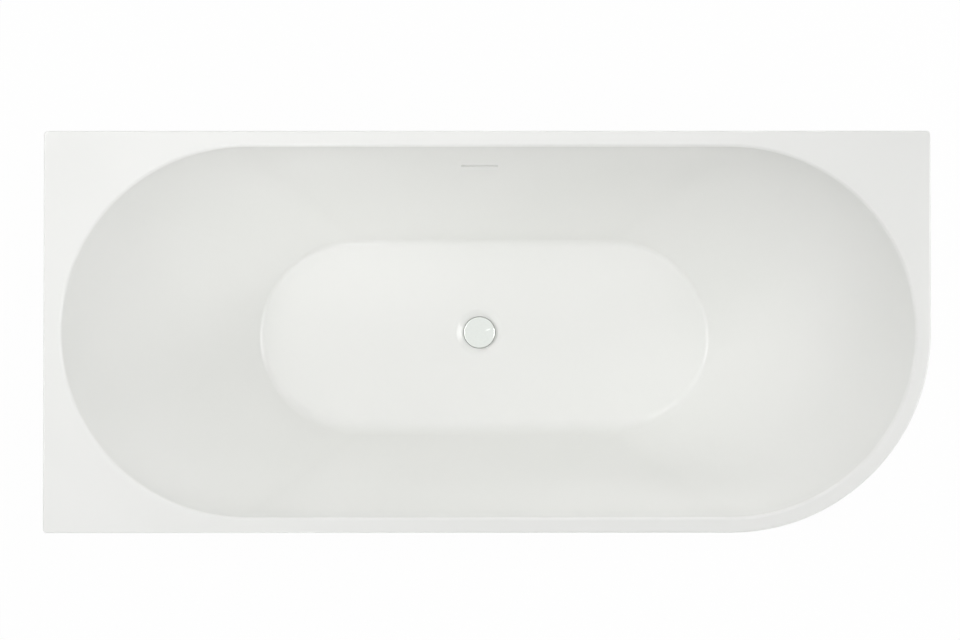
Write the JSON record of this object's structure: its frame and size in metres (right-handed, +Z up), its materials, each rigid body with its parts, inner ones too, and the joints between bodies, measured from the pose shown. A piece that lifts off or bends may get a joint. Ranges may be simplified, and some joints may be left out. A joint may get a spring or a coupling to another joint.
{
  "type": "bathtub",
  "caption": "Back-to-wall corner bathtub with an oval basin, a curved front corner, an apron, levelling feet, a push-open waste and a slot overflow.",
  "frame": {"origin": "on the room floor, under the middle of the tub's outer rectangle", "axes": "+X along the tub towards the end with the curved corner, +Y towards the back wall, +Z up"},
  "size_m": [1.7, 0.77, 0.58],
  "materials": {
    "acrylic": "thermoformed sanitary acrylic, polished gloss white",
    "glass_fibre": "sprayed chopped-strand glass fibre, bare resin",
    "softwood": "planed softwood",
    "chipboard": "bare chipboard",
    "zinc_steel": "hot-dip galvanised",
    "screw_steel": "bright zinc plate",
    "foot_plastic": "moulded black plastic",
    "chrome": "polished chrome plate",
    "seal_rubber": "moulded black rubber",
    "drain_plastic": "moulded white plastic",
    "pipe_plastic": "extruded grey plastic pipe",
    "spring_steel": "drawn stainless wire"
  },
  "bodies": {
    "tub": {"bath_shell": "acrylic", "shell_backing": "glass_fibre", "apron_panel": "acrylic", "apron_batten_front": "softwood", "apron_batten_end": "softwood", "baseboard": "chipboard", "leg_bar_left": "zinc_steel", "leg_bar_right": "zinc_steel", "leg_bar_screws": "screw_steel", "apron_brackets": "zinc_steel", "bracket_screws": "screw_steel", "foot_nuts": "screw_steel", "foot_locknuts": "screw_steel", "waste_flange": "chrome", "flange_seal": "seal_rubber", "body_seal": "seal_rubber", "waste_body": "drain_plastic", "cartridge_stud": "chrome", "cartridge_spring": "spring_steel", "overflow_box": "drain_plastic", "overflow_gasket": "seal_rubber", "overflow_pipe": "pipe_plastic", "pipe_nuts": "drain_plastic", "pipe_seals": "seal_rubber"},
    "cap": {"waste_cap": "chrome", "cap_seal": "seal_rubber", "cartridge_sleeve": "chrome"},
    "foot_front_left": {"foot_stud_front_left": "screw_steel", "foot_pad_front_left": "foot_plastic"},
    "foot_back_left": {"foot_stud_back_left": "screw_steel", "foot_pad_back_left": "foot_plastic"},
    "foot_front_right": {"foot_stud_front_right": "screw_steel", "foot_pad_front_right": "foot_plastic"},
    "foot_back_right": {"foot_stud_back_right": "screw_steel", "foot_pad_back_right": "foot_plastic"}
  },
  "joints": [
    {"name": "waste_cap_lift", "type": "slide", "parent": "tub", "child": "cap", "axis": [0, 0, 1], "range_m": [0, 0.009], "deforming": ["cartridge_spring"]},
    {"name": "foot_front_left_level", "type": "slide", "parent": "tub", "child": "foot_front_left", "axis": [0, 0, -1], "range_m": [-0.004, 0.025]},
    {"name": "foot_back_left_level", "type": "slide", "parent": "tub", "child": "foot_back_left", "axis": [0, 0, -1], "range_m": [-0.004, 0.025]},
    {"name": "foot_front_right_level", "type": "slide", "parent": "tub", "child": "foot_front_right", "axis": [0, 0, -1], "range_m": [-0.004, 0.025]},
    {"name": "foot_back_right_level", "type": "slide", "parent": "tub", "child": "foot_back_right", "axis": [0, 0, -1], "range_m": [-0.004, 0.025]}
  ]
}
